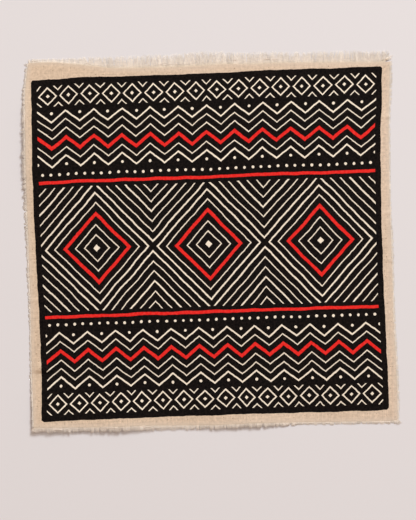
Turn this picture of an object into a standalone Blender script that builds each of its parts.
"""A square panel of raw-edged cotton with a printed field, lying face up.

The cloth is one thin sheet. It lies flat but for stretches of its left and
bottom sides and two short creases, which stand a few millimetres up. Along each
side a narrow strip, parted from the sheet by a hair's gap, carries the locks of
loose thread that fraying has left: long ones at the top, short ones elsewhere.

Metres, +Z up, +Y towards the long fringe, origin under the panel's middle.
The tables and the functions that read them are in millimetres.
"""

import math
import random
from collections import namedtuple

import bmesh
import bpy
import numpy as np

MM = 0.001

CLOTH_THICKNESS = 1.2
STRIP_WIDTH = 2.5
PIECE_GAP = 0.3
SEED = 41

# The square that the outline is drawn round, before its sides wander.
NOMINAL_LEFT, NOMINAL_RIGHT = -222.0, 222.0
NOMINAL_BOTTOM, NOMINAL_TOP = -222.0, 217.0

# Bare margin between the cloth's own solid's rim and its printed field.
PRINT_MARGIN = 8.2

# Grid lines over the sheet, closer at its edges, and the rounds in which a
# point of the grid settles between the four uneven sides.
GRID_COLUMNS = 24
GRID_ROWS = 24
EDGE_CROWDING = 0.5
SETTLING_ROUNDS = 8

# Sides of the cloth. along: place on the side. woven: where the weave ends,
# from the panel's middle. fray: length of the loose threads beyond it.
EdgeRow = namedtuple("EdgeRow", "along woven fray")

TOP_EDGE = [
    EdgeRow(-222, 221.0, 5.4),
    EdgeRow(-190, 221.2, 5.2),
    EdgeRow(-165, 218.9, 7.8),
    EdgeRow(-140, 215.8, 11.6),
    EdgeRow(-115, 212.8, 14.4),
    EdgeRow(-85, 212.4, 15.4),
    EdgeRow(-50, 212.6, 16.0),
    EdgeRow(0, 214.2, 16.6),
    EdgeRow(26, 215.0, 15.0),
    EdgeRow(48, 214.1, 15.4),
    EdgeRow(76, 214.9, 14.4),
    EdgeRow(108, 214.8, 13.6),
    EdgeRow(150, 214.4, 14.0),
    EdgeRow(180, 214.0, 14.0),
    EdgeRow(210, 213.6, 14.2),
    EdgeRow(224, 214.8, 12.5),
]
BOTTOM_EDGE = [
    EdgeRow(-224, -222.2, 6.6),
    EdgeRow(-196, -222.7, 7.2),
    EdgeRow(-135, -223.3, 7.2),
    EdgeRow(-86, -222.8, 6.9),
    EdgeRow(-40, -223.3, 7.0),
    EdgeRow(0, -223.4, 6.4),
    EdgeRow(60, -222.2, 5.8),
    EdgeRow(90, -222.6, 4.4),
    EdgeRow(157, -223.0, 4.4),
    EdgeRow(212, -222.9, 5.0),
    EdgeRow(224, -222.2, 6.2),
]
LEFT_EDGE = [
    EdgeRow(-224, -219.9, 2.6),
    EdgeRow(-190, -220.4, 2.8),
    EdgeRow(-160, -221.2, 3.2),
    EdgeRow(-120, -221.3, 2.8),
    EdgeRow(-81, -221.2, 3.2),
    EdgeRow(-15, -222.2, 4.0),
    EdgeRow(27, -222.6, 4.9),
    EdgeRow(75, -223.2, 5.2),
    EdgeRow(120, -223.2, 5.5),
    EdgeRow(162, -223.0, 4.6),
    EdgeRow(189, -222.2, 4.0),
    EdgeRow(205, -220.6, 3.8),
    EdgeRow(222, -217.4, 3.5),
]
RIGHT_EDGE = [
    EdgeRow(-224, 222.8, 3.2),
    EdgeRow(-189, 223.0, 3.2),
    EdgeRow(-150, 222.0, 3.2),
    EdgeRow(-108, 220.6, 3.0),
    EdgeRow(-54, 220.0, 2.6),
    EdgeRow(-10, 219.2, 3.6),
    EdgeRow(27, 218.8, 2.4),
    EdgeRow(108, 218.8, 2.4),
    EdgeRow(135, 219.0, 2.8),
    EdgeRow(162, 220.0, 3.1),
    EdgeRow(189, 221.2, 3.9),
    EdgeRow(222, 222.6, 3.0),
]

# Where the cloth stands off the surface. x, y: highest spot. reach_x,
# reach_y: how far the rise spreads. height: how high the spot stands.
Lift = namedtuple("Lift", "x y reach_x reach_y height")

LIFTS = [
    Lift(-228, 128, 50, 86, 3.6),
    Lift(-228, 84, 46, 46, 1.2),
    Lift(-208, -234, 70, 90, 4.1),
    Lift(-100, -230, 200, 90, 0.9),
    Lift(-122, -234, 62, 80, 3.6),
    Lift(38, -234, 84, 80, 3.1),
    Lift(224, 10, 24, 62, 0.4),
    Lift(226, 224, 46, 34, 0.9),
]

# Short creases at the sides, each a ridge that runs across. x, y: its highest
# spot. reach: how far it runs to each side of that. above, below: its width up
# and down from its line. height: how high the ridge stands.
Crease = namedtuple("Crease", "x y reach above below height")

CREASES = [
    Crease(-206, -152.6, 18, 12.0, 5.6, 2.6),
    Crease(221, 29.5, 24, 5.0, 3.2, 0.5),
]

# Frayed sides. runs: the axis that the side lies along. outward: sign of the
# axis across it. locks: how many locks. rings: bends in each. root, tip:
# width of a lock at its two ends, as a share of its pitch.
Side = namedtuple("Side", "name edge runs outward locks rings root tip")

SIDES = [
    Side("fray_top", TOP_EDGE, "x", 1, 108, 2, 0.74, 0.26),
    Side("fray_bottom", BOTTOM_EDGE, "x", -1, 84, 2, 0.74, 0.28),
    Side("fray_left", LEFT_EDGE, "y", -1, 54, 1, 0.44, 0.18),
    Side("fray_right", RIGHT_EDGE, "y", 1, 54, 1, 0.44, 0.18),
]

# Locks lean together in tufts of a few, the fewest and the most.
LOCKS_IN_A_TUFT = (2, 5)
TUFT_GATHER = 0.24
LOCK_SHORTEST = 0.72
LOCK_LEAN_WAVE = 0.16
LOCK_LEAN_WAVELENGTH = 63.0
LOCK_LEAN_JITTER = 0.07
LOCK_BEND = 1.4
LOCK_TIP_HEIGHT = 0.5
LOCK_DROOP = 0.35

# The top fringe's last locks, pushed out past the right corner.
# lean: sideways reach for each millimetre of length. length: in millimetres.
TuftRow = namedtuple("TuftRow", "lean length")

CORNER_TUFT = [
    TuftRow(0.06, 13.4),
    TuftRow(0.16, 13.0),
    TuftRow(0.32, 12.2),
    TuftRow(0.60, 9.6),
]

# The left and right strips stop short of the top and bottom ones, whose edges
# are read at the corner and at this share of the way out to it.
NEAR_CORNER = 0.98

SHARP_FROM = math.radians(35)

COTTON_COLOUR = (0.687, 0.527, 0.386, 1.0)
LOOSE_THREAD_COLOUR = (0.775, 0.638, 0.522, 1.0)
INK_COLOUR = (0.021, 0.015, 0.013, 1.0)


def clear_scene():
    """Remove every object, so the model stands alone."""
    for item in list(bpy.data.objects):
        bpy.data.objects.remove(item, do_unlink=True)


def make_material(name, colour, roughness):
    """A plain cloth finish."""
    material = bpy.data.materials.new(name)
    material.diffuse_color = colour
    material.use_nodes = True
    shader = material.node_tree.nodes["Principled BSDF"]
    shader.inputs["Base Color"].default_value = colour
    shader.inputs["Roughness"].default_value = roughness
    shader.inputs["Metallic"].default_value = 0.0
    return material


def read_smooth(table, column, at):
    """A column's value at a place between the table's rows, on a smooth curve."""
    along = np.array([row.along for row in table], float)
    value = np.array([getattr(row, column) for row in table], float)
    slope = np.gradient(value, along)
    at = float(np.clip(at, along[0], along[-1]))
    k = int(np.clip(np.searchsorted(along, at) - 1, 0, len(along) - 2))
    span = along[k + 1] - along[k]
    u = (at - along[k]) / span
    rise = value[k + 1] - value[k]
    start_bend = slope[k] * span - rise
    end_bend = rise - slope[k + 1] * span
    return float(value[k] + u * rise + u * (1 - u) * ((1 - u) * start_bend + u * end_bend))


def grid_shares(count):
    """Places of the grid lines from 0 to 1, closer together at both ends."""
    shares = []
    for k in range(count + 1):
        even = k / count
        crowded = 0.5 - 0.5 * math.cos(math.pi * even)
        shares.append(even + EDGE_CROWDING * (crowded - even))
    return shares


def with_extra(shares, extra, closest=0.006):
    """The shares with more lines added, and none left nearly on an added one."""
    kept = [s for s in shares if s in (0.0, 1.0) or min(abs(s - e) for e in extra) > closest]
    return sorted(kept + list(extra))


def column_shares():
    """Grid columns, with one on each side border of the printed field."""
    share = PRINT_MARGIN / (NOMINAL_RIGHT - NOMINAL_LEFT)
    return with_extra(grid_shares(GRID_COLUMNS), [share, 1 - share])


def row_shares():
    """Grid rows, with one on each end border of the print and three on each crease."""
    height = NOMINAL_TOP - NOMINAL_BOTTOM
    share = PRINT_MARGIN / height
    extra = [share, 1 - share]
    for crease in CREASES:
        for offset in (-crease.below, 0.0, crease.above):
            extra.append((crease.y + offset - NOMINAL_BOTTOM) / height)
    return with_extra(grid_shares(GRID_ROWS), extra)


def edge_line(side):
    """The side's woven edge as straight runs between the grid lines."""
    if side.runs == "x":
        low, high, shares = NOMINAL_LEFT, NOMINAL_RIGHT, column_shares()
    else:
        low, high, shares = NOMINAL_BOTTOM, NOMINAL_TOP, row_shares()
    places = [low + share * (high - low) for share in shares]
    places = [side.edge[0].along] + places + [side.edge[-1].along]
    places = sorted(set(places))
    return places, [read_smooth(side.edge, "woven", place) for place in places]


EDGE_LINES = {side.name: edge_line(side) for side in SIDES}


def woven_edge(name, at):
    """Where a side's weave ends, at a place along it."""
    places, values = EDGE_LINES[name]
    return float(np.interp(at, places, values))


def fade(away):
    """1 at the middle of a rise, softly down to 0 where away reaches 1."""
    away = min(abs(away), 1.0)
    return (1.0 - away * away) ** 2


def underside(x, y):
    """Height of the cloth's underside over the surface."""
    height = 0.0
    for rise in LIFTS:
        away = math.hypot((x - rise.x) / rise.reach_x, (y - rise.y) / rise.reach_y)
        height += rise.height * fade(away)
    for crease in CREASES:
        width = crease.above if y > crease.y else crease.below
        ridge = fade((y - crease.y) / width) * fade((x - crease.x) / crease.reach)
        height += crease.height * ridge
    return height


def sheet_point(across, up, inset):
    """A point of the sheet from its shares across and up, inset from the woven edge."""
    x = NOMINAL_LEFT + across * (NOMINAL_RIGHT - NOMINAL_LEFT)
    y = NOMINAL_BOTTOM + up * (NOMINAL_TOP - NOMINAL_BOTTOM)
    for _ in range(SETTLING_ROUNDS):
        left = woven_edge("fray_left", y) + inset
        right = woven_edge("fray_right", y) - inset
        x = left + across * (right - left)
        bottom = woven_edge("fray_bottom", x) + inset
        top = woven_edge("fray_top", x) - inset
        y = bottom + up * (top - bottom)
    return x, y


def add_point(mesh, x, y, z):
    """A vertex given in millimetres."""
    return mesh.verts.new((x * MM, y * MM, z * MM))


def cloth_mesh():
    """The sheet: a grid of its underside and one of its face, joined at the rim."""
    mesh = bmesh.new()
    columns, rows = column_shares(), row_shares()
    inset = STRIP_WIDTH + PIECE_GAP
    under, face = [], []
    for up in rows:
        under_row, face_row = [], []
        for across in columns:
            x, y = sheet_point(across, up, inset)
            z = underside(x, y)
            under_row.append(add_point(mesh, x, y, z))
            face_row.append(add_point(mesh, x, y, z + CLOTH_THICKNESS))
        under.append(under_row)
        face.append(face_row)

    side_share = PRINT_MARGIN / (NOMINAL_RIGHT - NOMINAL_LEFT)
    end_share = PRINT_MARGIN / (NOMINAL_TOP - NOMINAL_BOTTOM)
    for j in range(len(rows) - 1):
        up = (rows[j] + rows[j + 1]) / 2
        for i in range(len(columns) - 1):
            across = (columns[i] + columns[i + 1]) / 2
            corners = ((j, i), (j, i + 1), (j + 1, i + 1), (j + 1, i))
            mesh.faces.new([under[r][c] for r, c in corners])
            printed = mesh.faces.new([face[r][c] for r, c in corners])
            in_field = side_share < across < 1 - side_share and end_share < up < 1 - end_share
            printed.material_index = 1 if in_field else 0

    rim = [(0, i) for i in range(len(columns))]
    rim += [(j, len(columns) - 1) for j in range(1, len(rows))]
    rim += [(len(rows) - 1, i) for i in range(len(columns) - 2, -1, -1)]
    rim += [(j, 0) for j in range(len(rows) - 2, 0, -1)]
    for (j, i), (q, p) in zip(rim, rim[1:] + rim[:1]):
        mesh.faces.new((under[j][i], under[q][p], face[q][p], face[j][i]))
    return mesh


def side_ends(side):
    """First and last place of a side's strip. The top and bottom strips take the corners."""
    if side.runs == "x":
        at = NOMINAL_TOP if side.outward > 0 else NOMINAL_BOTTOM
        return woven_edge("fray_left", at), woven_edge("fray_right", at)
    at = NOMINAL_RIGHT if side.outward > 0 else NOMINAL_LEFT
    margin = STRIP_WIDTH + PIECE_GAP
    low = max(woven_edge("fray_bottom", at), woven_edge("fray_bottom", at * NEAR_CORNER))
    high = min(woven_edge("fray_top", at), woven_edge("fray_top", at * NEAR_CORNER))
    return low + margin, high - margin


def side_point(side, along, out):
    """A point beside the woven edge, out millimetres beyond it."""
    across = woven_edge(side.name, along) + side.outward * out
    return (along, across) if side.runs == "x" else (across, along)


def ring_of(mesh, side, centre, out, width, height, base):
    """Four corners of a lock's section, its underside at the height base."""
    ring = []
    for offset, level in ((-0.5, 0.0), (0.5, 0.0), (0.5, 1.0), (-0.5, 1.0)):
        edge = woven_edge(side.name, centre) + side.outward * out
        along = centre + offset * width
        x, y = (along, edge) if side.runs == "x" else (edge, along)
        ring.append(add_point(mesh, x, y, base + level * height))
    return ring


def add_lock(mesh, side, root, start, lean, length, pitch):
    """A tapering lock of threads grown from four points of the strip's outer wall."""
    edge_x, edge_y = side_point(side, start, 0.0)
    rise = underside(edge_x, edge_y)
    last = root
    for step in range(1, side.rings + 1):
        share = step / side.rings
        width = pitch * (side.root + share * (side.tip - side.root))
        height = CLOTH_THICKNESS + share * (LOCK_TIP_HEIGHT - CLOTH_THICKNESS)
        base = rise * (1.0 - LOCK_DROOP * share)
        centre = start + lean * length * share ** LOCK_BEND
        ring = ring_of(mesh, side, centre, length * share, width, height, base)
        for k in range(4):
            mesh.faces.new((last[k], last[(k + 1) % 4], ring[(k + 1) % 4], ring[k]))
        last = ring
    mesh.faces.new(last)


def tuft_places(count, draw):
    """For each lock, how many locks it stands from the middle of its tuft."""
    places = []
    while len(places) < count:
        size = draw.randint(*LOCKS_IN_A_TUFT)
        places += [k - (size - 1) / 2 for k in range(size)]
    return places[:count]


def lock_shape(side, index, start, pitch, from_tuft_middle, draw):
    """Sideways lean and length of one lock."""
    length = read_smooth(side.edge, "fray", start) * draw.uniform(LOCK_SHORTEST, 1.0)
    gather = -TUFT_GATHER * from_tuft_middle * min(pitch / length, 1.0)
    wave = LOCK_LEAN_WAVE * math.sin(start / LOCK_LEAN_WAVELENGTH + side.locks)
    lean = wave + draw.uniform(-LOCK_LEAN_JITTER, LOCK_LEAN_JITTER) + gather
    from_end = side.locks - 1 - index
    if side.name == "fray_top" and from_end < len(CORNER_TUFT):
        row = CORNER_TUFT[len(CORNER_TUFT) - 1 - from_end]
        lean, length = row.lean, row.length
    return lean, length


def fray_mesh(side):
    """A narrow strip of cloth along one side, with its locks of loose thread."""
    draw = random.Random(f"{side.name} {SEED}")
    low, high = side_ends(side)
    pitch = (high - low) / side.locks
    from_middle = tuft_places(side.locks, draw)
    places = [low]
    for k in range(side.locks):
        middle = low + (k + 0.5) * pitch
        places += [middle - pitch * side.root / 2, middle + pitch * side.root / 2]
    places.append(high)

    mesh = bmesh.new()
    sections = []
    for along in places:
        section = []
        for out in (-STRIP_WIDTH, 0.0):
            x, y = side_point(side, along, out)
            z = underside(x, y)
            section += [add_point(mesh, x, y, z), add_point(mesh, x, y, z + CLOTH_THICKNESS)]
        sections.append(section)

    for k, (here, there) in enumerate(zip(sections, sections[1:])):
        in_low, in_high, out_low, out_high = here
        next_in_low, next_in_high, next_out_low, next_out_high = there
        mesh.faces.new((in_low, next_in_low, next_out_low, out_low))
        mesh.faces.new((in_high, out_high, next_out_high, next_in_high))
        mesh.faces.new((in_low, in_high, next_in_high, next_in_low))
        wall = (out_low, next_out_low, next_out_high, out_high)
        if k % 2 == 0:
            mesh.faces.new(wall)
            continue
        index = k // 2
        start = (places[k] + places[k + 1]) / 2
        lean, length = lock_shape(side, index, start, pitch, from_middle[index], draw)
        add_lock(mesh, side, wall, start, lean, length, pitch)

    for in_low, in_high, out_low, out_high in (sections[0], sections[-1]):
        mesh.faces.new((in_low, out_low, out_high, in_high))
    return mesh


def place_piece(name, mesh, materials, origin):
    """Close up a piece, make it an object and set it about the panel's middle."""
    bmesh.ops.triangulate(mesh, faces=mesh.faces[:])
    bmesh.ops.recalc_face_normals(mesh, faces=mesh.faces[:])
    data = bpy.data.meshes.new(name)
    mesh.to_mesh(data)
    mesh.free()
    for material in materials:
        data.materials.append(material)
    data.shade_smooth()
    data.set_sharp_from_angle(angle=SHARP_FROM)
    piece = bpy.data.objects.new(name, data)
    piece.location = (-origin[0], -origin[1], 0.0)
    bpy.context.collection.objects.link(piece)
    return piece


def middle_of(meshes):
    """Middle of the whole panel, loose threads included, in plan."""
    points = np.array([vertex.co[:2] for mesh in meshes for vertex in mesh.verts])
    return (points.min(axis=0) + points.max(axis=0)) / 2


def build_panel():
    """The whole panel."""
    clear_scene()
    cotton = make_material("unbleached_cotton", COTTON_COLOUR, 0.92)
    ink = make_material("printed_ink", INK_COLOUR, 0.72)
    threads = make_material("loose_threads", LOOSE_THREAD_COLOUR, 0.95)
    meshes = {"cloth": cloth_mesh()}
    for side in SIDES:
        meshes[side.name] = fray_mesh(side)
    origin = middle_of(meshes.values())
    place_piece("cloth", meshes.pop("cloth"), [cotton, ink], origin)
    for name, mesh in meshes.items():
        place_piece(name, mesh, [threads], origin)


build_panel()
